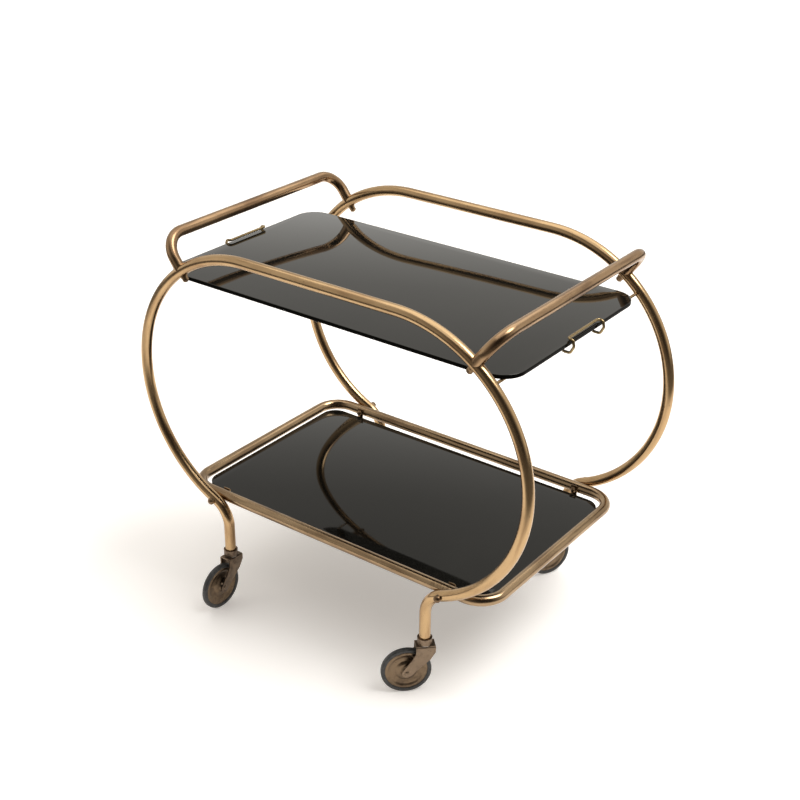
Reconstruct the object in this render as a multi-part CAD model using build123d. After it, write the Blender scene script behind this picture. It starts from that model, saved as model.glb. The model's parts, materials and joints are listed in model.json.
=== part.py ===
from build123d import *
import os
from math import cos, radians, sin, sqrt, tan

# Two-shelf serving trolley: two bent brass side frames, a closed ring that carries the lower
# glass, two push handles, an upper glass tray on pegs and four swivel casters.
# Millimetres, +Z up, +X along the trolley, -Y is the front. The origin is on the floor, midway
# between the four legs.

# ---------------------------------------------------------------- driving dimensions
tube_d = 19.0                # outside diameter of every bent tube
tube_wall = 1.5

# side frames: a straight top rail, a big arc at each end, then a bend into a short leg
frame_top_z = 661.3          # centreline height of the top rail
arc_centre_x = 148.5         # half of the top rail's straight run
arc_r = 241.5                # centreline radius of the end arcs
arc_end_deg = 23.0           # how far short of horizontal the arc stops at its lower end
leg_bend_r = 49.5

# lower ring
ring_half_y = 202.0          # to the tube's centreline
ring_overhang = 75.0         # ring centreline beyond the frame bolts
ring_corner_r = 44.0

# push handles
handle_deg = 54.0            # place of the handle's feet on the end arc, above horizontal
handle_reach = 62.0          # frame centreline to crossbar centreline
handle_corner_r = 40.0
handle_foot_gap = 1.5        # the feet stop this far short of the frame's centreline

# glass
glass_t = 7.0
glass_arris = 0.8
upper_glass_under_z = 592.1
upper_glass_end_gap = 44.7   # glass edge to the outermost centreline of the arcs
upper_glass_side_gap = 18.2  # glass edge to the side frames' inner faces, when centred
upper_glass_corner_r = 39.0
upper_glass_shift = (-4.8, -11.0)   # the loose tray lies a little off centre
lower_glass_drop = 4.0       # glass top below the ring's centreline
lower_glass_end_gap = 3.0
lower_glass_side_gap = 9.6
lower_glass_corner_r = 29.0

# pegs under the upper glass
peg_d = 5.0
peg_reach = 40.0             # out of the frame's inner face
peg_root = 6.0               # into the tube

# wire clips on the tray's short edges
wire_d = 4.0
clip_length = 92.0
clip_bar_lift = 3.2          # free height under the bar
clip_bar_inset = 3.0         # bar centreline inside the glass edge
clip_bulge = 7.0             # widest part of the loop, outside the glass edge
clip_hook_depth = 11.5       # hook bottom centreline below the glass's underside
clip_tip_inset = 20.0
clip_bend_r = 5.0
right_clip_y = 6.0
left_clip_y = 2.0

# threaded parts
bolt_d = 6.0
bolt_hole_gap = 0.4          # on the diameter
saddle_d = 12.0              # washers with one side shaped to the tube
saddle_t = 2.5
dome_head_d = 12.5
dome_head_h = 5.0
cap_head_d = 10.5
cap_head_h = 8.5
plug_clear = 1.5             # between the plug in each handle foot and the frame tube
plug_spare = 0.5             # straight tube left between the plug and the handle's bend
thread_spare = 1.0           # bolt's end short of the plug's end
nut_across_flats = 10.0
nut_hex_h = 4.0
nut_dome_h = 3.4
nut_thread_h = 5.0
nut_end_gap = 0.5            # bolt's end short of the bottom of the nut's thread
nut_shoulder = 0.4           # flat left around the nut's dome

# bent tabs that carry the lower glass
rest_t = 1.5
rest_width = 12.0
rest_reach = 24.0
rest_rise = 8.0              # above the bolt

# casters
wheel_d = 84.0
wheel_trail = 30.0           # swivel axis to axle, level
tyre_w = 9.0
tyre_t = 6.8
tyre_shoulder_r = 2.0
axle_d = 6.0
axle_head_d = 12.0
axle_head_h = 2.4
running_gap = 0.05           # radial, axle in bush and pin in fork
end_gap = 0.1                # axial, either side of what turns
fork_t = 2.5
fork_inside_w = 19.0
fork_front = 17.0            # plate, from the swivel axis away from the wheel
fork_back = 15.5             # plate, from the swivel axis towards the wheel
fork_over_wheel = 5.3
fork_neck_drop = 14.0        # cheeks keep the plate's width down to here
fork_waist_drop = 25.0
fork_waist_out = 6.5         # how far the cheeks step out beyond the plate at the waist
fork_bend_r = 3.0
fork_eye_r = 8.5
bush_wall = 2.0
side_washer_t = 0.8
side_washer_d = 12.0
disc_boss_r = 15.5
disc_boss_half = 5.0
disc_web_half = 1.4
disc_rim_half = 3.6
disc_rim_depth = 5.0
socket_d = 25.0
socket_h = 12.3
socket_floor = 2.0
socket_lip = 0.6
pin_d = 8.0
pin_head_d = 13.0
pin_head_h = 2.4
pin_plug_h = 25.0
thrust_washer_d = 22.0
thrust_washer_t = 1.0
# where each caster points: direction from swivel axis to axle, anticlockwise from +X
swivel_deg = {
    "front_left": 268.5,
    "front_right": 225.0,
    "rear_left": 255.0,
    "rear_right": 243.0,
}

# ---------------------------------------------------------------- derived places
bolt_hole_d = bolt_d + bolt_hole_gap
tube_r = tube_d / 2
bore_r = tube_r - tube_wall
frame_y = ring_half_y + tube_d              # the side frames touch the ring's outer side
arc_centre_z = frame_top_z - arc_r

arc_end = radians(arc_end_deg)
bolt_x = arc_centre_x + arc_r * sin(arc_end)
ring_z = arc_centre_z - arc_r * cos(arc_end)
bend_centre_x = bolt_x + leg_bend_r * sin(arc_end)
bend_centre_z = ring_z - leg_bend_r * cos(arc_end)
leg_x = bend_centre_x - leg_bend_r

ring_half_x = bolt_x + ring_overhang

plug_start = tube_r + plug_clear            # from the frame's centreline
plug_length = handle_reach - handle_corner_r - plug_start - plug_spare

axle_z = wheel_d / 2
plate_under_z = wheel_d + fork_over_wheel
plate_top_z = plate_under_z + fork_t
socket_z = plate_top_z + end_gap + thrust_washer_t
leg_end_z = socket_z + socket_floor

upper_half_x = arc_centre_x + arc_r - upper_glass_end_gap
upper_half_y = frame_y - tube_r - upper_glass_side_gap
lower_half_x = ring_half_x - tube_r - lower_glass_end_gap
lower_half_y = ring_half_y - tube_r - lower_glass_side_gap
lower_glass_under_z = ring_z - lower_glass_drop - glass_t

peg_z = upper_glass_under_z - peg_d / 2
peg_x = arc_centre_x + sqrt(arc_r**2 - (peg_z - arc_centre_z) ** 2)

handle_angle = radians(handle_deg)
foot_x = arc_centre_x + arc_r * cos(handle_angle)
foot_z = arc_centre_z + arc_r * sin(handle_angle)

legs = {
    "front_left": (-leg_x, -frame_y),
    "front_right": (leg_x, -frame_y),
    "rear_left": (-leg_x, frame_y),
    "rear_right": (leg_x, frame_y),
}
sides = (-1, 1)
corners = [(sx, sy) for sx in sides for sy in sides]


# ---------------------------------------------------------------- helpers
def rod(path, radius):
    """Round bar along a path."""
    start = Plane(origin=path @ 0, z_dir=path % 0)
    return sweep(start * Circle(radius), path=path)


def tube(path):
    """The trolley's tube along a path."""
    return rod(path, tube_r) - rod(path, bore_r)


def post(radius, start, length, plane):
    """Cylinder along a plane's normal, beginning at a distance from its origin."""
    return plane.offset(start) * Cylinder(radius, length, align=(Align.CENTER, Align.CENTER, Align.MIN))


def dome(radius, height, start, plane):
    """Low round head: a spherical cap with its flat side towards the plane."""
    ball_r = (radius**2 + height**2) / (2 * height)
    ball = plane.offset(start + height - ball_r) * Sphere(ball_r)
    return ball & post(radius, start, height, plane)


def write(name, *solids):
    """One node; several solids become one node of separate pieces."""
    export_step(solids[0] if len(solids) == 1 else Compound(list(solids)), f"parts/{name}.step")


# ---------------------------------------------------------------- side frames
def frame_path():
    """Centreline of one side frame in the XZ plane, leg to leg."""
    sweep_deg = 180 - arc_end_deg
    bend_deg = 90 - arc_end_deg
    with BuildLine(Plane.XZ) as line:
        Line((-leg_x, leg_end_z), (-leg_x, bend_centre_z))
        CenterArc((-bend_centre_x, bend_centre_z), leg_bend_r, 0, bend_deg)
        CenterArc((-arc_centre_x, arc_centre_z), arc_r, 270 - arc_end_deg, -sweep_deg)
        Line((-arc_centre_x, frame_top_z), (arc_centre_x, frame_top_z))
        CenterArc((arc_centre_x, arc_centre_z), arc_r, 90, -sweep_deg)
        CenterArc((bend_centre_x, bend_centre_z), leg_bend_r, 90 + arc_end_deg, bend_deg)
        Line((leg_x, bend_centre_z), (leg_x, leg_end_z))
    return line.wire()


def bolt_plane(sx, sy):
    """At a frame bolt, on the side frame's centreline, pointing out of the trolley."""
    return Plane(origin=(sx * bolt_x, sy * frame_y, ring_z), x_dir=(1, 0, 0), z_dir=(0, sy, 0))


def foot_plane(sx, sy):
    """At a handle foot, on the side frame's centreline, pointing out along the handle arm."""
    direction = (sx * cos(handle_angle), 0, sin(handle_angle))
    return Plane(origin=(sx * foot_x, sy * frame_y, foot_z), x_dir=(0, 1, 0), z_dir=direction)


def peg_plane(sx, sy):
    """At a peg, on the side frame's centreline, pointing into the trolley."""
    return Plane(origin=(sx * peg_x, sy * frame_y, peg_z), x_dir=(1, 0, 0), z_dir=(0, -sy, 0))


path = frame_path()
solid_frame = {sy: Pos(0, sy * frame_y, 0) * rod(path, tube_r) for sy in sides}


def side_frame(sy):
    frame = Pos(0, sy * frame_y, 0) * tube(path)
    for sx in sides:
        frame -= post(bolt_hole_d / 2, -tube_d, 2 * tube_d, bolt_plane(sx, sy))
        frame -= post(bolt_hole_d / 2, -tube_d, 2 * tube_d, foot_plane(sx, sy))
        frame -= post(peg_d / 2, 0, tube_d, peg_plane(sx, sy))
    return frame


# ---------------------------------------------------------------- lower ring
def ring():
    outline = Pos(0, 0, ring_z) * RectangleRounded(2 * ring_half_x, 2 * ring_half_y, ring_corner_r)
    loop = tube(outline.wire())
    for sx, sy in corners:
        loop -= post(bolt_hole_d / 2, -2 * tube_d, 2 * tube_d, bolt_plane(sx, sy))
    return loop


# ---------------------------------------------------------------- handles
def handle(sx):
    """U of tube whose feet are cut to sit on the two side frames."""
    direction = (sx * cos(handle_angle), 0, sin(handle_angle))
    normal = (sx * sin(handle_angle), 0, -cos(handle_angle))
    plane = Plane(origin=(sx * foot_x, 0, foot_z), x_dir=Vector(*direction).cross(Vector(*normal)),
                  z_dir=normal)
    with BuildLine(plane) as line:
        FilletPolyline((-frame_y, handle_foot_gap), (-frame_y, handle_reach), (frame_y, handle_reach),
                       (frame_y, handle_foot_gap), radius=handle_corner_r)
    bar = tube(line.wire())
    for sy in sides:
        bar -= solid_frame[sy]
    return bar


def handle_plug(sx, sy):
    plane = foot_plane(sx, sy)
    return post(bore_r, plug_start, plug_length, plane) - post(bolt_d / 2, plug_start, plug_length, plane)


def saddle(plane, side):
    """Washer on the outside of the frame tube; side is +1 or -1 along the plane's normal."""
    height = tube_r + saddle_t
    start = 0 if side > 0 else -height
    return post(saddle_d / 2, start, height, plane) - post(bolt_d / 2, start, height, plane)


def handle_saddle(sx, sy):
    return saddle(foot_plane(sx, sy), -1) - solid_frame[sy]


def handle_bolt(sx, sy):
    """Cap-headed bolt on the inner side of the arc, screwed into the handle's plug."""
    plane = foot_plane(sx, sy)
    under_head = -(tube_r + saddle_t)
    tip = plug_start + plug_length - thread_spare
    shank = post(bolt_d / 2, under_head, tip - under_head, plane)
    dome_h = cap_head_d / 4
    inward = Plane(origin=plane.origin, x_dir=plane.x_dir, z_dir=-plane.z_dir)
    head = post(cap_head_d / 2, -under_head, cap_head_h - dome_h, inward)
    head += dome(cap_head_d / 2, dome_h, cap_head_h - dome_h - under_head, inward)
    return shank + head


# ---------------------------------------------------------------- frame bolts and glass rests
def ring_saddle(sx, sy):
    return saddle(bolt_plane(sx, sy), 1) - solid_frame[sy]


rest_face = -(tube_d + tube_r)              # ring's inner face, seen from the frame's centreline
nut_face = rest_face - rest_t


def ring_bolt(sx, sy):
    plane = bolt_plane(sx, sy)
    under_head = tube_r + saddle_t
    tip = nut_face - nut_thread_h + nut_end_gap
    return post(bolt_d / 2, tip, under_head - tip, plane) + dome(
        dome_head_d / 2, dome_head_h, under_head, plane)


def cap_nut(sx, sy):
    plane = bolt_plane(sx, sy)
    inward = Plane(origin=plane.origin, x_dir=plane.x_dir, z_dir=-plane.z_dir)
    hexagon = RegularPolygon(nut_across_flats / 2, 6, major_radius=False)
    nut = extrude(inward.offset(-nut_face) * hexagon, nut_hex_h)
    nut += dome(nut_across_flats / 2 - nut_shoulder, nut_dome_h, nut_hex_h - nut_face, inward)
    return nut - post(bolt_d / 2, -nut_face, nut_thread_h, inward)


def glass_rest(sx, sy):
    """Tab clamped against the ring by the frame bolt, bent in under the lower glass."""
    inner_y = ring_half_y - tube_r
    low_z = lower_glass_under_z - rest_t
    top_z = ring_z + rest_rise
    upright = Pos(sx * bolt_x, sy * (inner_y - rest_t / 2), (low_z + top_z) / 2) * Box(
        rest_width, rest_t, top_z - low_z)
    foot = Pos(sx * bolt_x, sy * (inner_y - rest_reach / 2), low_z + rest_t / 2) * Box(
        rest_width, rest_reach, rest_t)
    return upright + foot - post(bolt_hole_d / 2, nut_face - 1, rest_t + 2, bolt_plane(sx, sy))


# ---------------------------------------------------------------- glass, pegs and clips
def pane(half_x, half_y, corner_r, under_z, shift=(0, 0)):
    outline = Pos(shift[0], shift[1], under_z) * RectangleRounded(2 * half_x, 2 * half_y, corner_r)
    slab = extrude(outline, glass_t)
    rims = slab.faces().sort_by(Axis.Z)[-1].edges() + slab.faces().sort_by(Axis.Z)[0].edges()
    return chamfer(rims, glass_arris)


def peg(sx, sy):
    length = peg_root + peg_reach
    pin = post(peg_d / 2, tube_r - peg_root, length, peg_plane(sx, sy))
    tip = pin.edges().sort_by(Axis.Y)[0 if sy > 0 else -1]
    return fillet(tip, peg_d / 5)


def clip(sx, middle_y):
    """Wire bar across a short edge of the tray, hooked under the glass at both ends."""
    edge_x = upper_glass_shift[0] + sx * upper_half_x
    wire_r = wire_d / 2
    top_z = upper_glass_under_z + glass_t
    bar = (-clip_bar_inset, top_z + clip_bar_lift + wire_r)
    profile = [
        (-clip_tip_inset, upper_glass_under_z - wire_r),
        (-clip_tip_inset / 2, upper_glass_under_z - clip_hook_depth),
        (1, upper_glass_under_z - clip_hook_depth),
        (clip_bulge, upper_glass_under_z),
        (clip_bulge - wire_r, top_z + clip_bar_lift),
        bar,
    ]
    half = clip_length / 2
    near = [(edge_x + sx * u, middle_y - half, z) for u, z in profile]
    far = [(x, middle_y + half, z) for x, _, z in reversed(near)]
    with BuildLine() as line:
        FilletPolyline(*near, *far, radius=clip_bend_r)
    return rod(line.wire(), wire_r)


# ---------------------------------------------------------------- casters
def place(shape, corner):
    """From the caster's own frame, wheel along +X of the swivel axis, to its leg."""
    x, y = legs[corner]
    return Pos(x, y, 0) * Rot(0, 0, swivel_deg[corner]) * shape


def caster_socket(corner):
    x, y = legs[corner]
    base = Plane(origin=(x, y, socket_z))
    cup = post(socket_d / 2, 0, socket_h, base)
    cup = chamfer(cup.edges().sort_by(Axis.Z)[-1], socket_lip)
    cup -= post(tube_r, socket_floor, socket_h, base)
    return cup - post(pin_d / 2, -1, socket_floor + 2, base)


def king_pin(corner):
    x, y = legs[corner]
    base = Plane(origin=(x, y, leg_end_z))
    head_top = plate_under_z - end_gap - leg_end_z
    pin = post(bore_r, 0, pin_plug_h, base)
    pin += post(pin_d / 2, head_top, -head_top, base)
    down = Plane(origin=(x, y, leg_end_z + head_top), z_dir=(0, 0, -1))
    return pin + dome(pin_head_d / 2, pin_head_h, 0, down)


def thrust_washer(corner):
    x, y = legs[corner]
    base = Plane(origin=(x, y, socket_z - thrust_washer_t))
    return post(thrust_washer_d / 2, 0, thrust_washer_t, base) - post(
        pin_d / 2, 0, thrust_washer_t, base)


fork_half = fork_inside_w / 2 + fork_t
axle_plane = Plane(origin=(wheel_trail, 0, axle_z), x_dir=(1, 0, 0), z_dir=(0, 1, 0))


def fork():
    """Pressed plate with two cheeks that narrow to the axle."""
    eye = (wheel_trail, axle_z)
    cheek_z = plate_top_z - fork_neck_drop
    waist_z = plate_top_z - fork_waist_drop
    lean = fork_eye_r * 0.7
    outline = Polyline(
        (-fork_front, plate_top_z), (fork_back, plate_top_z), (fork_back, cheek_z),
        (fork_back + fork_waist_out, waist_z),
        (eye[0] + lean, eye[1] + lean), (eye[0] - lean, eye[1] - lean),
        (-fork_front / 2, waist_z), (-fork_front, cheek_z + 3), close=True)
    cheek = make_face(outline) + Pos(*eye) * Circle(fork_eye_r)
    block = extrude(Plane.XZ.offset(-fork_half) * cheek, 2 * fork_half)
    edges = block.faces().sort_by(Axis.Z)[-1].edges().filter_by(Axis.X)
    block = fillet(edges, fork_bend_r)
    inside = Box(200, fork_inside_w, plate_under_z, align=(Align.CENTER, Align.CENTER, Align.MIN))
    block -= inside
    block -= post(axle_d / 2, -fork_half, 2 * fork_half, axle_plane)
    return block - post(pin_d / 2 + running_gap, plate_under_z - 1, fork_t + 2, Plane.XY)


def axle():
    """Rivet through both cheeks, domed on both ends."""
    shaft = post(axle_d / 2, -fork_half, 2 * fork_half, axle_plane)
    back = Plane(origin=axle_plane.origin, x_dir=(1, 0, 0), z_dir=(0, -1, 0))
    for face in (axle_plane, back):
        shaft += dome(axle_head_d / 2, axle_head_h, fork_half, face)
    return shaft


def side_washers():
    washers = []
    for start in (fork_inside_w / 2 - side_washer_t, -fork_inside_w / 2):
        ring_blank = post(side_washer_d / 2, start, side_washer_t, axle_plane)
        washers.append(ring_blank - post(axle_d / 2, start, side_washer_t, axle_plane))
    return washers


hub_half = fork_inside_w / 2 - side_washer_t - end_gap
bush_r = axle_d / 2 + running_gap + bush_wall
disc_r = wheel_d / 2 - tyre_t


def turned(points):
    """Solid of revolution about the axle from (radius, across) points."""
    profile = make_face(Plane.XZ * Polyline(*points, close=True))
    spun = revolve(profile, Axis.Z)
    return Pos(wheel_trail, 0, axle_z) * Rot(90, 0, 0) * spun


def hub_bush():
    length = 2 * hub_half
    return post(bush_r, -hub_half, length, axle_plane) - post(
        axle_d / 2 + running_gap, -hub_half, length, axle_plane)


def wheel_disc():
    """Dished metal wheel: raised boss, thin web and a deeper rim."""
    half = [
        (bush_r, hub_half), (bush_r + 3, hub_half), (bush_r + 4, disc_boss_half),
        (disc_boss_r, disc_boss_half), (disc_boss_r + 3, disc_web_half),
        (disc_r - disc_rim_depth - 1.5, disc_web_half), (disc_r - disc_rim_depth, disc_rim_half),
        (disc_r, disc_rim_half),
    ]
    return turned(half + [(r, -w) for r, w in reversed(half)])


def tyre():
    outer_r = wheel_d / 2
    half = tyre_w / 2
    with BuildSketch(Plane.XZ) as section:
        with Locations(((disc_r + outer_r) / 2, 0)):
            Rectangle(tyre_t, tyre_w)
        fillet(section.vertices().group_by(Axis.X)[-1], tyre_shoulder_r)
        chamfer(section.vertices().group_by(Axis.X)[0], half - disc_rim_half)
    spun = revolve(section.sketch, Axis.Z)
    return Pos(wheel_trail, 0, axle_z) * Rot(90, 0, 0) * spun


# ---------------------------------------------------------------- nodes
os.makedirs("parts", exist_ok=True)

write("side_frame_front", side_frame(-1))
write("side_frame_rear", side_frame(1))
write("lower_ring", ring())
write("handle_left", handle(-1))
write("handle_right", handle(1))

write("handle_plugs", *[handle_plug(*c) for c in corners])
write("handle_saddle_washers", *[handle_saddle(*c) for c in corners])
write("handle_bolts", *[handle_bolt(*c) for c in corners])
write("ring_saddle_washers", *[ring_saddle(*c) for c in corners])
write("ring_bolts", *[ring_bolt(*c) for c in corners])
write("ring_cap_nuts", *[cap_nut(*c) for c in corners])
write("glass_rests", *[glass_rest(*c) for c in corners])
write("tray_pegs", *[peg(*c) for c in corners])

write("lower_glass", pane(lower_half_x, lower_half_y, lower_glass_corner_r, lower_glass_under_z))
write("upper_glass", pane(upper_half_x, upper_half_y, upper_glass_corner_r, upper_glass_under_z,
                          upper_glass_shift))
write("tray_clip_left", clip(-1, left_clip_y))
write("tray_clip_right", clip(1, right_clip_y))

write("caster_sockets", *[caster_socket(c) for c in legs])
write("king_pins", *[king_pin(c) for c in legs])
write("thrust_washers", *[thrust_washer(c) for c in legs])

fork_blank = fork()
axle_blank = axle()
washer_blanks = side_washers()
bush_blank = hub_bush()
disc_blank = wheel_disc()
tyre_blank = tyre()
for corner in legs:
    write(f"fork_{corner}", place(fork_blank, corner))
    write(f"axle_{corner}", place(axle_blank, corner))
    write(f"side_washers_{corner}", *[place(w, corner) for w in washer_blanks])
    write(f"hub_bush_{corner}", place(bush_blank, corner))
    write(f"wheel_disc_{corner}", place(disc_blank, corner))
    write(f"tyre_{corner}", place(tyre_blank, corner))
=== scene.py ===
"""Looks of a two-shelf serving trolley: bent brass tube, black glass and brown swivel casters."""
import json
from math import asin, cos, degrees, pi, radians, sin, sqrt, tan
import bmesh
import bpy
from mathutils import Matrix, Vector

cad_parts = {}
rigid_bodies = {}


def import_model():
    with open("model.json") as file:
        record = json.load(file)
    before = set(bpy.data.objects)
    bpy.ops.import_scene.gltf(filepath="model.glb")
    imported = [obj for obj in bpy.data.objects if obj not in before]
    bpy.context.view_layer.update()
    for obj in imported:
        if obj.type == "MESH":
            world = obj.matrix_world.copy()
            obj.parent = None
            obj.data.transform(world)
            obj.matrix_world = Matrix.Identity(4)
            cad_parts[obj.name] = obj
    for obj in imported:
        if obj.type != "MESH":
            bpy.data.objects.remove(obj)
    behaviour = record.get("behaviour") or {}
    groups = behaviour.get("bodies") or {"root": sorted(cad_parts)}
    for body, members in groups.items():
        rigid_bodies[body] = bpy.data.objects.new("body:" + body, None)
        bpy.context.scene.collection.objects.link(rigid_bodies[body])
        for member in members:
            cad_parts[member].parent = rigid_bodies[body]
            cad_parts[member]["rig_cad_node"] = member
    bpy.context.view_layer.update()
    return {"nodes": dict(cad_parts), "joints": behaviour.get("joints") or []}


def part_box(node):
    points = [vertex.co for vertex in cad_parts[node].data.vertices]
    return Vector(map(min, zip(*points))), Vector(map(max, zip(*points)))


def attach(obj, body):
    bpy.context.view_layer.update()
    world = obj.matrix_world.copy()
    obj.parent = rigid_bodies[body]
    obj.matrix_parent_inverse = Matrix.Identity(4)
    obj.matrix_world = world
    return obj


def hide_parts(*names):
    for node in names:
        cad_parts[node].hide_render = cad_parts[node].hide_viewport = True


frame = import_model()
nodes = frame["nodes"]
joints = {j["name"]: j for j in frame["joints"]}
scene = bpy.context.scene
mm = 0.001


# ---------------------------------------------------------------- camera, light and floor
CAMERA_YAW = 0.635
AWAY = (-0.593, 0.805, 0)        # level direction from the camera
RIGHTWARDS = (0.805, 0.593, 0)
SHEET_EDGE = (1.7, 2.1)          # where the mirrored floor starts to darken and where it is dark: painted shade for an unlit room

# tint of the room: round it from behind the camera (0 and 1) past the far side (0.5), then upwards
DARK, DIM, PALE = (0.05, 0.047, 0.045), (0.24, 0.22, 0.20), (1.0, 0.985, 0.95)
WALL_ROUND = [(0.0, DARK), (0.05, (0.10, 0.09, 0.085)), (0.10, DIM), (0.17, (0.5, 0.48, 0.46)),
              (0.24, PALE), (0.76, PALE), (0.84, (0.35, 0.33, 0.31)), (0.90, DARK), (1.0, DARK)]
WALL_UP = [(0.0, (1.0, 1.0, 1.0)), (0.3, (0.9, 0.895, 0.88)), (0.6, (0.78, 0.775, 0.765)),
           (1.0, (0.7, 0.7, 0.7))]


def look_from(place, yaw, pitch, roll, lens):
    """Camera at a place, turned from +Y by yaw, down by pitch, then rolled."""
    forward = Vector((-sin(yaw) * cos(pitch), cos(yaw) * cos(pitch), -sin(pitch)))
    level = Vector((cos(yaw), sin(yaw), 0))
    up = level.cross(forward)
    across = level * cos(roll) + up * sin(roll)
    upright = up * cos(roll) - level * sin(roll)
    data = bpy.data.cameras.new("camera")
    data.lens = lens
    camera = bpy.data.objects.new("camera", data)
    turn = Matrix((across, upright, -forward)).transposed().to_4x4()
    camera.matrix_world = Matrix.Translation(place) @ turn
    scene.collection.objects.link(camera)
    scene.camera = camera


def softbox(name, place, aim, size, power):
    data = bpy.data.lights.new(name, "AREA")
    data.shape = "RECTANGLE"
    data.size, data.size_y = size
    data.energy = power
    lamp = bpy.data.objects.new(name, data)
    lamp.location = place
    lamp.rotation_euler = (Vector(aim) - Vector(place)).to_track_quat("-Z", "Y").to_euler()
    scene.collection.objects.link(lamp)


def studio_walls():
    """Pale room: bright paper beyond the trolley, a dark room behind the camera."""
    world = bpy.data.worlds.new("studio")
    scene.world = world
    world.use_nodes = True
    tree = world.node_tree
    tree.nodes.clear()
    add, link = tree.nodes.new, tree.links.new
    place = add("ShaderNodeTexCoord").outputs["Generated"]

    def along(direction):
        dot = add("ShaderNodeVectorMath")
        dot.operation = "DOT_PRODUCT"
        dot.inputs[1].default_value = direction
        link(place, dot.inputs[0])
        return dot.outputs["Value"]

    turn = add("ShaderNodeMath")
    turn.operation = "ARCTAN2"
    link(along(RIGHTWARDS), turn.inputs[0])
    link(along(AWAY), turn.inputs[1])
    round_room = add("ShaderNodeMapRange")
    round_room.inputs["From Min"].default_value = -pi
    round_room.inputs["From Max"].default_value = pi
    link(turn.outputs[0], round_room.inputs["Value"])
    wall = levels(tree, round_room.outputs["Result"], WALL_ROUND)
    high = levels(tree, along((0, 0, 1)), WALL_UP)
    room = add("ShaderNodeMix")
    room.data_type = "RGBA"
    room.blend_type = "MULTIPLY"
    room.inputs["Factor"].default_value = 1.0
    link(wall, room.inputs["A"])
    link(high, room.inputs["B"])
    lit = add("ShaderNodeBackground")
    link(room.outputs["Result"], lit.inputs["Color"])
    paper = add("ShaderNodeBackground")
    paper.inputs["Color"].default_value = (1, 1, 1, 1)
    rays = add("ShaderNodeLightPath")
    both = add("ShaderNodeMixShader")
    link(rays.outputs["Is Camera Ray"], both.inputs["Fac"])
    link(lit.outputs[0], both.inputs[1])
    link(paper.outputs[0], both.inputs[2])
    out = add("ShaderNodeOutputWorld")
    link(both.outputs[0], out.inputs["Surface"])


def sunlight(towards, strength, spread):
    """Even daylight from a big window, as a wide soft sun."""
    data = bpy.data.lights.new("window light", "SUN")
    data.energy = strength
    data.angle = radians(spread)
    lamp = bpy.data.objects.new("window light", data)
    lamp.rotation_euler = Vector(towards).to_track_quat("-Z", "Y").to_euler()
    scene.collection.objects.link(lamp)


def pale_floor():
    bm = bmesh.new()
    bmesh.ops.create_grid(bm, x_segments=8, y_segments=8, size=9.0)
    mesh = bpy.data.meshes.new("floor")
    bm.to_mesh(mesh)
    bm.free()
    floor = bpy.data.objects.new("floor", mesh)
    scene.collection.objects.link(floor)
    mesh.materials.append(floor_paper())


def floor_paper():
    """Pale paper with a faint warm glow, painted fill light that lifts the shadows under the trolley. In
    mirrorings it is a round sheet, centred a metre beyond the trolley; past its edge it is dark, painted
    shade for an unlit room.
    """
    paint = bpy.data.materials.new("floor paper")
    paint.use_nodes = True
    tree = paint.node_tree
    shader = tree.nodes["Principled BSDF"]
    shader.inputs["Roughness"].default_value = 0.9
    # Painted light: the paper glows, a warm fill that lightens the shadows under the trolley
    shader.inputs["Emission Strength"].default_value = 0.30
    spot = tree.nodes.new("ShaderNodeTexCoord")
    distance = tree.nodes.new("ShaderNodeVectorMath")
    distance.operation = "DISTANCE"
    distance.inputs[1].default_value = AWAY
    tree.links.new(spot.outputs["Object"], distance.inputs[0])
    edge = tree.nodes.new("ShaderNodeMapRange")
    edge.inputs["From Min"].default_value = SHEET_EDGE[0]
    edge.inputs["From Max"].default_value = SHEET_EDGE[1]
    tree.links.new(distance.outputs["Value"], edge.inputs["Value"])
    # Only in mirrorings, the floor past the sheet's edge turns dark: painted shade for the unlit room
    rays = tree.nodes.new("ShaderNodeLightPath")
    seen = tree.nodes.new("ShaderNodeMath")
    seen.operation = "SUBTRACT"
    seen.inputs[0].default_value = 1.0
    tree.links.new(rays.outputs["Is Camera Ray"], seen.inputs[1])
    dark = tree.nodes.new("ShaderNodeMath")
    dark.operation = "MULTIPLY"
    tree.links.new(seen.outputs[0], dark.inputs[0])
    tree.links.new(edge.outputs["Result"], dark.inputs[1])
    # near: the paper and its painted warm glow; far: dark paper without glow, painted shade seen only in
    # mirrorings
    for socket, near, far in (("Base Color", (0.92, 0.90, 0.875), (0.10, 0.095, 0.09)),
                              ("Emission Color", (1.0, 0.93, 0.86), (0.0, 0.0, 0.0))):
        mix = tree.nodes.new("ShaderNodeMix")
        mix.data_type = "RGBA"
        mix.inputs["A"].default_value = (*near, 1)
        mix.inputs["B"].default_value = (*far, 1)
        tree.links.new(dark.outputs[0], mix.inputs["Factor"])
        tree.links.new(mix.outputs["Result"], shader.inputs[socket])
    return paint


# ---------------------------------------------------------------- finishes
def finish_base(name, metal=0.0, ior=1.5):
    """New material with a Principled shader, and the object's own coordinates."""
    finish = bpy.data.materials.new(name)
    finish.use_nodes = True
    tree = finish.node_tree
    shader = tree.nodes["Principled BSDF"]
    shader.inputs["Metallic"].default_value = metal
    shader.inputs["IOR"].default_value = ior
    where = tree.nodes.new("ShaderNodeTexCoord")
    return finish, tree, shader, where.outputs["Object"]


def cloud(tree, where, scale, detail=4.0, rough=0.55, stretch=(1, 1, 1), shift=0.0):
    """Noise value over the piece; scale is per metre."""
    place = tree.nodes.new("ShaderNodeMapping")
    place.inputs["Location"].default_value = (shift, shift * 0.7, -shift)
    place.inputs["Scale"].default_value = stretch
    tree.links.new(where, place.inputs["Vector"])
    noise = tree.nodes.new("ShaderNodeTexNoise")
    noise.inputs["Scale"].default_value = scale
    noise.inputs["Detail"].default_value = detail
    noise.inputs["Roughness"].default_value = rough
    tree.links.new(place.outputs["Vector"], noise.inputs["Vector"])
    return noise.outputs["Fac"]


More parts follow.
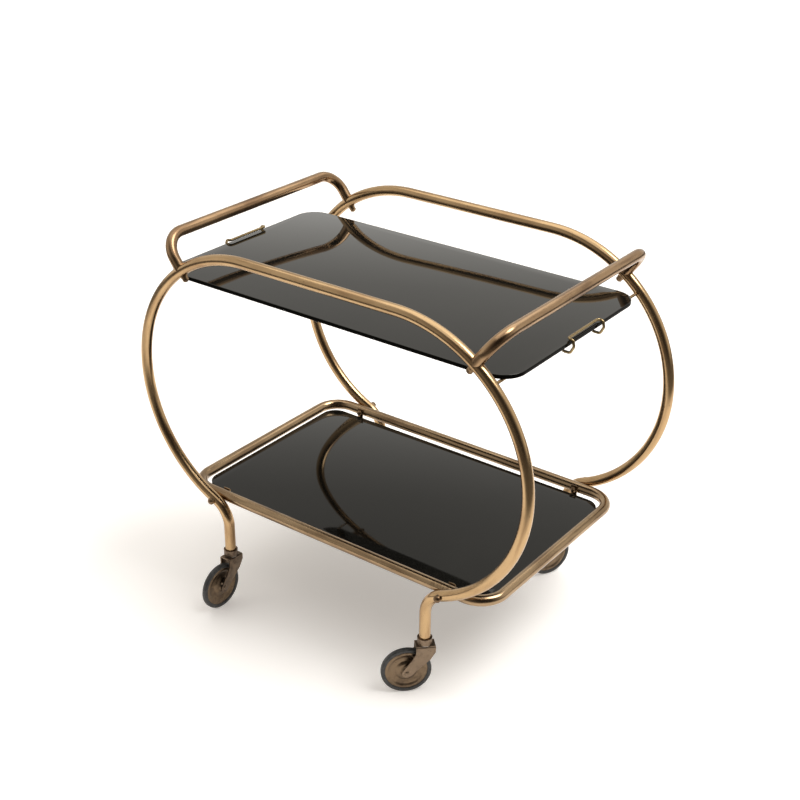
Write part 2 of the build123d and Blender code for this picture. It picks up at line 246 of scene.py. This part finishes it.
def levels(tree, value, stops):
    """Colour ramp over a value; stops are (position, colour or grey level)."""
    ramp = tree.nodes.new("ShaderNodeValToRGB")
    ends = ramp.color_ramp.elements
    while len(ends) < len(stops):
        ends.new(0.5)
    for end, (spot, level) in zip(ends, stops):
        end.position = spot
        end.color = (*level, 1) if isinstance(level, tuple) else (level, level, level, 1)
    tree.links.new(value, ramp.inputs["Fac"])
    return ramp.outputs["Color"]


def blended(tree, amount, first, second):
    mix = tree.nodes.new("ShaderNodeMix")
    mix.data_type = "RGBA"
    tree.links.new(amount, mix.inputs["Factor"])
    for socket, value in (("A", first), ("B", second)):
        if isinstance(value, tuple):
            mix.inputs[socket].default_value = (*value, 1)
        else:
            tree.links.new(value, mix.inputs[socket])
    return mix.outputs["Result"]


def bumped(tree, shader, height, strength, depth):
    bump = tree.nodes.new("ShaderNodeBump")
    bump.inputs["Strength"].default_value = strength
    bump.inputs["Distance"].default_value = depth
    tree.links.new(height, bump.inputs["Height"])
    tree.links.new(bump.outputs["Normal"], shader.inputs["Normal"])


def drawn_brass(name, clean, tarnished, spots, tarnish, gloss, drawn=True):
    """Old brass: polished, with soft tarnish and a few dark specks.

    On drawn tube and wire the pattern follows the bar, in long streaks. tarnish is the extra
    share of dark metal and gloss the lowest and highest roughness.
    """
    finish, tree, shader, where = finish_base(name, metal=1.0)
    if drawn:
        follow = tree.nodes.new("ShaderNodeAttribute")
        follow.attribute_name = "tube_place"
        where = follow.outputs["Vector"]
    even = (1, 1, 1)
    long = (1, 1, 0.10) if drawn else even
    streak = cloud(tree, where, 130, 4, 0.55, long)
    mottle = cloud(tree, where, 22, 3, 0.5, (1, 1, 0.45) if drawn else even, 3)
    both = blended(tree, streak, (0, 0, 0), (1, 1, 1))
    mixed = tree.nodes.new("ShaderNodeMix")
    mixed.data_type = "RGBA"
    mixed.inputs["Factor"].default_value = 0.5
    tree.links.new(both, mixed.inputs["A"])
    tree.links.new(mottle, mixed.inputs["B"])
    worn = levels(tree, mixed.outputs["Result"], [(0.52 - tarnish, 0.0), (0.70 - tarnish, 1.0)])
    coloured = blended(tree, worn, clean, tarnished)
    specks = cloud(tree, where, 330, 3, 0.6, (1, 1, 0.6) if drawn else even, 5)
    fleck = levels(tree, specks, [(0.66, 0.0), (0.74, 0.8)])
    tree.links.new(blended(tree, fleck, coloured, spots), shader.inputs["Base Color"])
    sheen = levels(tree, cloud(tree, where, 70, 5, 0.6, long, 7), [(0.3, gloss[0]), (0.75, gloss[1])])
    tree.links.new(sheen, shader.inputs["Roughness"])
    grain = cloud(tree, where, 420, 3, 0.6, (1, 1, 0.25) if drawn else even, 1)
    bumped(tree, shader, grain, 0.05, 0.2 * mm)
    return finish


def black_glass(name, ior):
    """Polished black glass, lightly wiped, with a dull ground rim."""
    finish, tree, shader, where = finish_base(name, ior=ior)
    haze = levels(tree, cloud(tree, where, 9, 5, 0.6),
                  [(0.3, (0.004, 0.004, 0.0035)), (0.8, (0.0075, 0.007, 0.006))])
    tree.links.new(haze, shader.inputs["Base Color"])
    wiped = levels(tree, cloud(tree, where, 16, 6, 0.65, (1, 3, 1)), [(0.35, 0.02), (0.8, 0.07)])
    tree.links.new(wiped, shader.inputs["Roughness"])
    shader.inputs["Specular Tint"].default_value = (1.0, 0.965, 0.88, 1)
    rim = tree.nodes.new("ShaderNodeAttribute")
    rim.attribute_name = "ground_rim"
    dulled = levels(tree, rim.outputs["Fac"], [(0.0, 0.5), (0.7, 0.04), (1.0, 0.02)])
    tree.links.new(dulled, shader.inputs["Specular IOR Level"])
    bumped(tree, shader, cloud(tree, where, 5, 2, 0.4, shift=5), 0.02, 0.5 * mm)
    return finish


def rubber():
    finish, tree, shader, where = finish_base("tyre rubber")
    dusty = levels(tree, cloud(tree, where, 130, 5, 0.65),
                   [(0.35, (0.020, 0.021, 0.021)), (0.75, (0.060, 0.057, 0.052))])
    tree.links.new(dusty, shader.inputs["Base Color"])
    worn = levels(tree, cloud(tree, where, 90, 4, 0.6, shift=2), [(0.3, 0.34), (0.8, 0.6)])
    tree.links.new(worn, shader.inputs["Roughness"])
    bumped(tree, shader, cloud(tree, where, 1500, 3, 0.6), 0.15, 0.2 * mm)
    return finish


# ---------------------------------------------------------------- making pieces
def whole(bm, soften=0.0, segments=2, sharper_than=35):
    """Merges doubles, points faces outwards and rounds the sharp edges."""
    bmesh.ops.remove_doubles(bm, verts=bm.verts, dist=2e-6)
    bmesh.ops.recalc_face_normals(bm, faces=bm.faces)
    if soften:
        sharp = [e for e in bm.edges if e.is_manifold and e.calc_face_angle() > radians(sharper_than)]
        bmesh.ops.bevel(bm, geom=sharp, offset=soften, offset_type="OFFSET", segments=segments,
                        profile=0.5, affect="EDGES", material=-1, clamp_overlap=True)


def piece(name, bm, body, paint, stands_for=(), smooth_below=40):
    """Finished piece from a bmesh, riding on its body."""
    mesh = bpy.data.meshes.new(name)
    for face in bm.faces:
        face.smooth = True
    bm.to_mesh(mesh)
    bm.free()
    mesh.set_sharp_from_angle(angle=radians(smooth_below))
    mesh.materials.append(paint)
    made = bpy.data.objects.new(name, mesh)
    scene.collection.objects.link(made)
    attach(made, body)
    if stands_for:
        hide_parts(*stands_for)
    return made


def bent_bar(start, heading, moves, radius, sides=36, closed=False, step=3.0):
    """Round bar made as a bender makes it.

    moves are ("run", length) or ("bend", bend radius, degrees, turn axis). Every vertex keeps
    where it lies on the bar, unrolled, so that a finish can follow the tube.
    """
    bm = bmesh.new()
    lay = bm.verts.layers.float_vector.new("tube_place")
    place, heading = Vector(start), Vector(heading).normalized()
    aside = heading.orthogonal().normalized()
    stand = Matrix((aside, heading.cross(aside), heading)).transposed()
    bmesh.ops.create_circle(bm, segments=sides, radius=radius, cap_ends=not closed,
                            matrix=Matrix.Translation(place) @ stand.to_4x4())
    for v in bm.verts:
        local = stand.transposed() @ (v.co - place)
        v[lay] = (local.x, local.y, 0)
    rim = list(bm.edges)
    length = 0.0

    def grown(geom):
        fresh = {g for g in geom if isinstance(g, bmesh.types.BMVert)}
        for v in fresh:
            v[lay] = (v[lay].x, v[lay].y, length)
        return fresh, [e for e in bm.edges if e.verts[0] in fresh and e.verts[1] in fresh]

    for move in moves:
        if move[0] == "run":
            length += move[1]
            made = bmesh.ops.extrude_edge_only(bm, edges=rim)
            fresh, rim = grown(made["geom"])
            bmesh.ops.translate(bm, verts=list(fresh), vec=heading * move[1])
            place = place + heading * move[1]
            continue
        _, bend_r, angle, axis = move
        axis = Vector(axis).normalized()
        centre = place + axis.cross(heading) * bend_r
        count = max(2, round(angle / step))
        part = radians(angle) / count
        for _ in range(count):
            length += bend_r * part
            ring = list({v for e in rim for v in e.verts})
            made = bmesh.ops.spin(bm, geom=ring + rim, cent=centre, axis=axis, angle=part, steps=1)
            fresh, rim = grown(made["geom_last"])
        turn = Matrix.Rotation(radians(angle), 3, axis)
        place = centre + turn @ (place - centre)
        heading = turn @ heading
    if not closed:
        bmesh.ops.contextual_create(bm, geom=rim)
    bmesh.ops.remove_doubles(bm, verts=bm.verts, dist=2e-6)
    bmesh.ops.recalc_face_normals(bm, faces=bm.faces)
    return bm


def through(points, bend_r):
    """Runs and bends that take a bar through corner points."""
    moves, trimmed = [], 0.0
    for i in range(1, len(points) - 1):
        before, after = points[i] - points[i - 1], points[i + 1] - points[i]
        angle = before.angle(after)
        cut = bend_r * tan(angle / 2)
        moves.append(("run", before.length - trimmed - cut))
        moves.append(("bend", bend_r, degrees(angle), before.cross(after).normalized()))
        trimmed = cut
    moves.append(("run", (points[-1] - points[-2]).length - trimmed))
    return moves


def turned(profile, place, heading, soften=0.0, sides=48, segments=2):
    """Solid from the lathe: profile is (along, radius) from end to end."""
    bm = bmesh.new()
    corners = [bm.verts.new((r, 0, h)) for h, r in profile]
    lines = [bm.edges.new(pair) for pair in zip(corners, corners[1:])]
    if profile[0][1] > 0:
        lines.append(bm.edges.new((corners[-1], corners[0])))
    bmesh.ops.spin(bm, geom=corners + lines, cent=(0, 0, 0), axis=(0, 0, 1), angle=2 * pi,
                   steps=sides, use_merge=True)
    whole(bm, soften, segments)
    turn = Vector(heading).to_track_quat("Z", "Y").to_matrix().to_4x4()
    bmesh.ops.transform(bm, matrix=Matrix.Translation(place) @ turn, verts=bm.verts)
    return bm


def joined(parts):
    """Several bmeshes as one."""
    bm = bmesh.new()
    for part in parts:
        mesh = bpy.data.meshes.new("part")
        part.to_mesh(mesh)
        part.free()
        bm.from_mesh(mesh)
        bpy.data.meshes.remove(mesh)
    return bm


def softened(node, soften, segments=2):
    """Copy of a CAD node with its flat faces made whole and its edges rounded."""
    bm = bmesh.new()
    bm.from_mesh(nodes[node].data)
    bmesh.ops.remove_doubles(bm, verts=bm.verts, dist=3e-6)
    bmesh.ops.dissolve_limit(bm, angle_limit=radians(0.5), use_dissolve_boundaries=False,
                             verts=bm.verts, edges=bm.edges, delimit=set())
    whole(bm, soften, segments, 30)
    return bm


# ---------------------------------------------------------------- sizes of this trolley
def span(node):
    low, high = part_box(node)
    return Vector(low), Vector(high)


front_low, front_high = span("side_frame_front")
tube_r = (front_high.y - front_low.y) / 2
frame_y = -(front_high.y + front_low.y) / 2
main_bend_r = 241.5 * mm
leg_bend_r = 49.5 * mm
arc_end = 23.0
top_z = front_high.z - tube_r
arc_x = front_high.x - tube_r - main_bend_r
arc_z = top_z - main_bend_r
bolt_x = arc_x + main_bend_r * sin(radians(arc_end))
ring_low, ring_high = span("lower_ring")
ring_z = (ring_low.z + ring_high.z) / 2
bend_z = ring_z - leg_bend_r * cos(radians(arc_end))
leg_x = bolt_x - leg_bend_r * (1 - sin(radians(arc_end)))
leg_end_z = front_low.z
sides_x = {"left": -1, "right": 1}
sides_y = {"front": -1, "rear": 1}
corners = [(sx, sy) for sx in (-1, 1) for sy in (-1, 1)]
handle_tilt = radians(54.0)
wheel_r = 42.0 * mm
disc_r = wheel_r - 6.8 * mm


# ---------------------------------------------------------------- tube work
def side_frames():
    """One tube from leg to leg: short bend, big arc, straight top rail, and back down."""
    leg_run = ("run", bend_z - leg_end_z)
    moves = [
        leg_run,
        ("bend", leg_bend_r, 90 - arc_end, (0, -1, 0)),
        ("bend", main_bend_r, 180 - arc_end, (0, 1, 0)),
        ("run", 2 * arc_x),
        ("bend", main_bend_r, 180 - arc_end, (0, 1, 0)),
        ("bend", leg_bend_r, 90 - arc_end, (0, -1, 0)),
        leg_run,
    ]
    for side, sy in sides_y.items():
        bm = bent_bar((-leg_x, sy * frame_y, leg_end_z), (0, 0, 1), moves, tube_r, step=2.5)
        piece(f"frame_tube_{side}", bm, "frame", tube_brass,
              [f"side_frame_{side}"])


def shelf_ring():
    """Closed ring; its butt joint is behind the front frame's foot."""
    half_x, half_y = ring_high.x - tube_r, ring_high.y - tube_r
    corner = 44.0 * mm
    joint_x = bolt_x - 0.03
    long, short = 2 * (half_x - corner), 2 * (half_y - corner)
    first = half_x - corner - joint_x
    up = (0, 0, 1)
    quarter = ("bend", corner, 90, up)
    moves = [("run", first), quarter, ("run", short), quarter, ("run", long), quarter,
             ("run", short), quarter, ("run", long - first)]
    bm = bent_bar((joint_x, -half_y, ring_z), (1, 0, 0), moves, tube_r, closed=True, step=4)
    piece("shelf_ring", bm, "frame", ring_brass, ["lower_ring"])


def foot_of(sx, sy):
    """Where a handle arm meets the frame's centreline, and the arm's direction."""
    out = Vector((sx * cos(handle_tilt), 0, sin(handle_tilt)))
    return Vector((sx * arc_x, sy * frame_y, arc_z)) + out * main_bend_r, out


def push_handles():
    """U of tube; its feet are drawn back to the round of the frame tube they stand on."""
    reach, corner, gap = 62.0 * mm, 40.0 * mm, 1.5 * mm
    for side, sx in sides_x.items():
        foot, out = foot_of(sx, -1)
        axis = out.cross(Vector((0, 1, 0)))
        moves = [("run", reach - corner - gap), ("bend", corner, 90, axis),
                 ("run", 2 * (frame_y - corner)), ("bend", corner, 90, axis),
                 ("run", reach - corner - gap)]
        bm = bent_bar(foot + out * gap, out, moves, tube_r, step=3)
        for v in bm.verts:
            rise = (v.co - foot).dot(out)
            if rise < gap + 1e-5:
                across = abs(abs(v.co.y) - frame_y)
                v.co += out * (max(sqrt(max(tube_r**2 - across**2, 0)), gap) - rise)
        piece(f"push_handle_{side}", bm, "frame", handle_brass, [f"handle_{side}"])


# ---------------------------------------------------------------- glass and its fittings
def pane(name, node, corner, body, paint):
    """Glass plate with round corners and a ground rim."""
    low, high = span(node)
    bm = bmesh.new()
    bmesh.ops.create_cube(bm, size=1)
    bmesh.ops.scale(bm, vec=high - low, verts=bm.verts)
    bmesh.ops.translate(bm, vec=(high + low) / 2, verts=bm.verts)
    uprights = [e for e in bm.edges if abs(e.verts[0].co.z - e.verts[1].co.z) > 1 * mm]
    bmesh.ops.bevel(bm, geom=uprights, offset=corner, offset_type="OFFSET", segments=24,
                    profile=0.5, affect="EDGES", material=-1)
    whole(bm)
    rims = [e for e in bm.edges if e.calc_face_angle() > radians(60)]
    bmesh.ops.bevel(bm, geom=rims, offset=1.1 * mm, offset_type="OFFSET", segments=4,
                    profile=0.5, affect="EDGES", material=-1)
    ground = bm.faces.layers.float.new("ground_rim")
    for face in bm.faces:
        face[ground] = 1.0 - abs(face.normal.z)
    piece(name, bm, body, paint, [node], 30)


def tray_clips():
    """Bent wire, bar above the glass edge and hooks under it."""
    bend_r = 5.0 * mm
    glass_low, glass_high = span("upper_glass")
    wire_r, inset, bulge, lift = 2.3 * mm, 4.0 * mm, 7.0 * mm, 4.4 * mm
    for side, sx in sides_x.items():
        low, high = span(f"tray_clip_{side}")
        edge = glass_high.x if sx > 0 else glass_low.x
        outline = [(-20 * mm, glass_low.z - wire_r), (-10 * mm, glass_low.z - 11.5 * mm),
                   (1 * mm, glass_low.z - 11.5 * mm), (bulge, glass_low.z),
                   (bulge - 2 * mm, glass_high.z + 3.2 * mm), (-inset, glass_high.z + lift)]
        near_y, far_y = low.y + wire_r, high.y - wire_r
        near = [Vector((edge + sx * u, near_y, z)) for u, z in outline]
        far = [Vector((p.x, far_y, p.z)) for p in reversed(near)]
        points = near + far
        bm = bent_bar(points[0], points[1] - points[0], through(points, bend_r), wire_r, 20, step=9)
        piece(f"wire_clip_{side}", bm, "tray", clip_brass, [f"tray_clip_{side}"])


def pegs():
    """Four round pegs out of the frame tubes, under the tray's corners."""
    low, high = span("tray_pegs")
    radius = (high.z - low.z) / 2
    z = (high.z + low.z) / 2
    x = high.x - radius
    root, reach = 3.5 * mm, 40.0 * mm
    profile = [(root, 0), (root, radius), (tube_r + reach, radius), (tube_r + reach, 0)]
    made = [turned(profile, (sx * x, sy * frame_y, z), (0, -sy, 0), 1.0 * mm, 32) for sx, sy in corners]
    piece("rest_pegs", joined(made), "frame", shaded_peg_brass, ["tray_pegs"])


# ---------------------------------------------------------------- bolts and nuts
def domed(radius, height, start, count=7):
    """Profile points of a low dome, from its rim to its crown."""
    ball = (radius**2 + height**2) / (2 * height)
    sweep = asin(radius / ball)
    return [(start + height - ball * (1 - cos(a)), ball * sin(a))
            for a in (sweep * (count - i) / count for i in range(count + 1))]


def bolts():
    """Round heads on the frame bolts, tall caps on the handle bolts, and what sits under them."""
    shank_r, head_r, cap_r = 3.0 * mm, 6.25 * mm, 5.25 * mm
    under = tube_r + 2.5 * mm           # underside of the head: the saddle washer's thickness
    shank = [(0, 0), (0, shank_r), (under, shank_r)]
    head = shank + [(under, head_r)] + domed(head_r, 4.2 * mm, under + 0.8 * mm)
    cap = shank + [(under, cap_r), (under + 5.6 * mm, cap_r)] + domed(4.9 * mm, 2.6 * mm, under + 5.9 * mm)
    heads, caps = [], []
    for sx, sy in corners:
        place = Vector((sx * bolt_x, sy * frame_y, ring_z))
        heads.append(turned(head, place, (0, sy, 0), 0.0, 40))
        foot, out = foot_of(sx, sy)
        caps.append(turned(cap, foot, -out, 0.0, 40))
    piece("frame_bolt_heads", joined(heads), "frame", fastener_brass, ["ring_bolts"])
    piece("handle_bolt_caps", joined(caps), "frame", fastener_brass, ["handle_bolts"])
    for name, node in (("handle_saddles", "handle_saddle_washers"), ("ring_saddles", "ring_saddle_washers"),
                       ("cap_nuts", "ring_cap_nuts"), ("shelf_rests", "glass_rests")):
        piece(name, softened(node, 0.25 * mm), "frame", fastener_brass, [node], 50)


# ---------------------------------------------------------------- casters
def caster(corner):
    """Fork, rivet, disc and tyre of one caster."""
    roll = joints[f"roll_{corner}"]
    hub, across = Vector(roll["pos_m"]), Vector(roll["axis"])
    fork, wheel = f"fork_{corner}", f"wheel_{corner}"

    bm = softened(f"fork_{corner}", 0.45 * mm)
    piece(f"swivel_fork_{corner}", bm, fork, caster_brown, [f"fork_{corner}"], 50)

    half, shaft_r = 12.0 * mm, 3.0 * mm     # the fork's half width, and the rivet's shaft
    head = domed(4.6 * mm, 1.9 * mm, half)
    far_head = [(-half - 2.0 * mm, 0)] + [(-h, r) for h, r in reversed(head)][1:]
    rivet = far_head + [(-half, shaft_r), (half, shaft_r)] + head
    bm = turned(rivet, hub, across, 0.0, 40)
    piece(f"axle_rivet_{corner}", bm, fork, caster_brown, [f"axle_{corner}"])

    # half profile of the disc, (across, radius): hub, boss, web, bead and the seat of the tyre
    profile = [(h * mm, r * mm) for h, r in (
        (8.6, 5.2), (8.6, 8.0), (5.4, 9.6), (4.9, 12.5), (4.2, 15.0), (1.7, 18.4), (1.45, 22.0),
        (1.6, 26.0), (2.2, 28.4), (3.7, 30.2), (4.0, 31.6), (3.7, 33.0))]
    profile += [(3.2 * mm, disc_r + 0.4 * mm)]
    profile += [(-h, r) for h, r in reversed(profile)]
    bm = turned(profile, hub, across, 0.35 * mm, 72)
    piece(f"pressed_wheel_{corner}", bm, wheel, disc_brown, [f"wheel_disc_{corner}"], 30)

    # half profile of the tyre, (across, below the tread)
    profile = [(h * mm, wheel_r + r * mm) for h, r in (
        (3.5, -6.9), (3.9, -6.5), (4.35, -4.6), (4.5, -2.4), (4.3, -1.1), (3.5, -0.35), (2.2, 0.0))]
    profile += [(-h, r) for h, r in reversed(profile)]
    bm = turned(profile, hub, across, 0.0, 96)
    piece(f"rubber_tyre_{corner}", bm, wheel, tyre_rubber, [f"tyre_{corner}"], 50)


def sockets():
    """Cup on the end of each leg."""
    low, high = span("caster_sockets")
    base, height = low.z, high.z - low.z
    profile = [(0, 4.0), (0, 11.6), (1.2, 12.1), (height / mm - 1.6, 12.3), (height / mm, 12.5),
               (height / mm, 9.6), (2.0, 9.6), (2.0, 4.0)]
    made = [turned([(h * mm, r * mm) for h, r in profile], (sx * leg_x, sy * frame_y, base), (0, 0, 1),
                   0.4 * mm, 48) for sx, sy in corners]
    piece("leg_sockets", joined(made), "frame", caster_brown, ["caster_sockets"])


# ---------------------------------------------------------------- the trolley
tube_brass = drawn_brass("tube brass", (0.50, 0.335, 0.175), (0.30, 0.18, 0.09), (0.10, 0.06, 0.03),
                         0.05, (0.16, 0.28))
handle_brass = drawn_brass("handle brass", (0.38, 0.245, 0.135), (0.20, 0.12, 0.065), (0.07, 0.04, 0.022),
                           0.08, (0.18, 0.32))
ring_brass = drawn_brass("ring brass", (0.36, 0.25, 0.145), (0.18, 0.115, 0.065), (0.06, 0.035, 0.02),
                         0.06, (0.14, 0.3))
# Peg brass: a darker copy of the brass, painted shade for the pegs under the tray glass
shaded_peg_brass = drawn_brass("peg brass", (0.30, 0.20, 0.10), (0.15, 0.09, 0.045), (0.06, 0.04, 0.02),
                        0.05, (0.2, 0.35), False)
clip_brass = drawn_brass("clip wire", (0.34, 0.25, 0.125), (0.16, 0.11, 0.055), (0.06, 0.04, 0.02),
                         0.04, (0.2, 0.35))
fastener_brass = drawn_brass("fastener brass", (0.36, 0.24, 0.13), (0.15, 0.095, 0.055), (0.05, 0.03, 0.02),
                             0.10, (0.25, 0.45), False)
caster_brown = drawn_brass("caster brown", (0.24, 0.175, 0.12), (0.13, 0.095, 0.07), (0.05, 0.035, 0.025),
                           0.06, (0.36, 0.55), False)
disc_brown = drawn_brass("disc brown", (0.20, 0.142, 0.09), (0.11, 0.078, 0.052), (0.06, 0.04, 0.028),
                         0.04, (0.26, 0.46), False)
steel = drawn_brass("bearing steel", (0.40, 0.38, 0.35), (0.22, 0.20, 0.17), (0.08, 0.07, 0.06),
                    0.05, (0.3, 0.5), False)
tray_finish = black_glass("tray glass", 1.52)
# Shelf glass: the same black glass with a lower IOR, so its mirroring is dimmer, painted shade for the
# shade under the tray
shelf_finish_painted_shade = black_glass("shelf glass", 1.39)
tyre_rubber = rubber()

for node in nodes.values():
    name = node["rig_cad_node"]
    if name.startswith(("king", "thrust", "side_washers", "hub_bush", "handle_plugs")):
        paint = steel
    elif name.startswith(("fork", "axle", "wheel_disc", "caster")):
        paint = caster_brown
    elif "washer" in name or "nut" in name or "rest" in name:
        paint = fastener_brass
    else:
        paint = shaded_peg_brass
    node.data.materials.clear()
    node.data.materials.append(paint)

side_frames()
shelf_ring()
push_handles()
pane("shelf_glass", "lower_glass", 29.0 * mm, "frame", shelf_finish_painted_shade)
pane("tray_glass", "upper_glass", 39.0 * mm, "tray", tray_finish)
tray_clips()
pegs()
bolts()
sockets()
for corner in ("front_left", "front_right", "rear_left", "rear_right"):
    caster(corner)

look_from((1.2472, -1.6989, 1.4543), CAMERA_YAW, pitch=0.472, roll=0.010, lens=61.79)
studio_walls()
pale_floor()
sunlight((-0.50, -0.26, -1.0), 1.7, 30)
softbox("overhead softbox", (0.2, 0.3, 2.6), (0, 0, 0.0), (3.4, 3.4), 40)
scene.view_settings.view_transform = "Standard"
